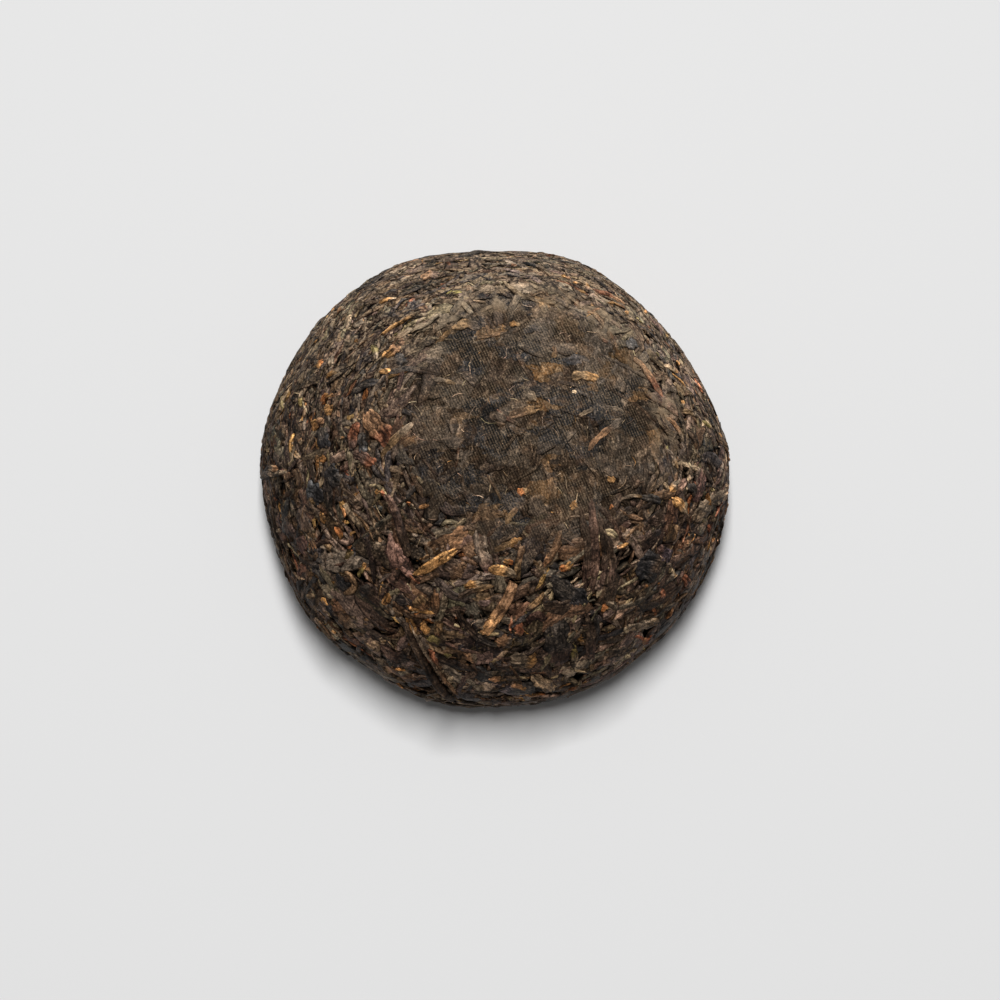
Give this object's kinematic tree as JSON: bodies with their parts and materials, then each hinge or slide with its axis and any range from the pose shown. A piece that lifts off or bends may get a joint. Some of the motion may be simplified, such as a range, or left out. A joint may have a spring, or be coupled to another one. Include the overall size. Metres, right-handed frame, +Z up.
{
  "type": "pu-erh tuocha",
  "caption": "Small bowl-shaped cake of pressed dark tea, dome up on its rim, with leaf strips, buds and twigs in relief and a hollow underneath.",
  "frame": {"origin": "on the table under the middle of the cake's outline, at the height of its flat rim", "axes": "+Z up through the top of the dome; +Y is towards the picture's top edge and +X to its right"},
  "size_m": [0.083, 0.082, 0.043],
  "materials": {
    "pressed_tea": "matt pressed dry leaf, dark brown with ochre buds and twigs"
  },
  "bodies": {
    "root": {"tuocha": "pressed_tea"}
  },
  "joints": []
}
